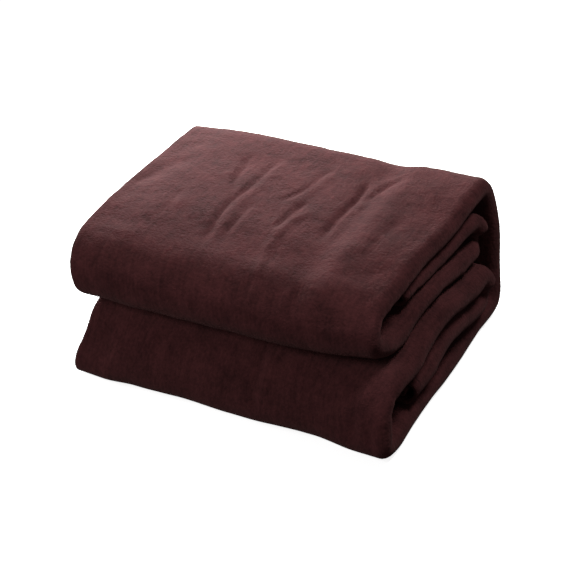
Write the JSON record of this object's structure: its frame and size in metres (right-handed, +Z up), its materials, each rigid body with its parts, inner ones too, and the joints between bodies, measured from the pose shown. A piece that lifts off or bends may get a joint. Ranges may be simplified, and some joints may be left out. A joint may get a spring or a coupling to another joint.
{
  "type": "folded fleece blanket",
  "caption": "Plush fleece blanket folded into a compact rectangular stack, with rounded front noses, one wrap at the back and a flat underside.",
  "frame": {"origin": "centre of the underside, on the surface that the folded blanket lies on", "axes": "+X along the long side, towards the end with the outer fold; +Y from the front noses to the wrap at the back; +Z up"},
  "size_m": [0.3834, 0.3509, 0.1742],
  "materials": {
    "fleece": "deep maroon brown plush, matt with a soft sheen on its nap"
  },
  "bodies": {
    "root": {"folded_fleece": "fleece"}
  },
  "joints": []
}
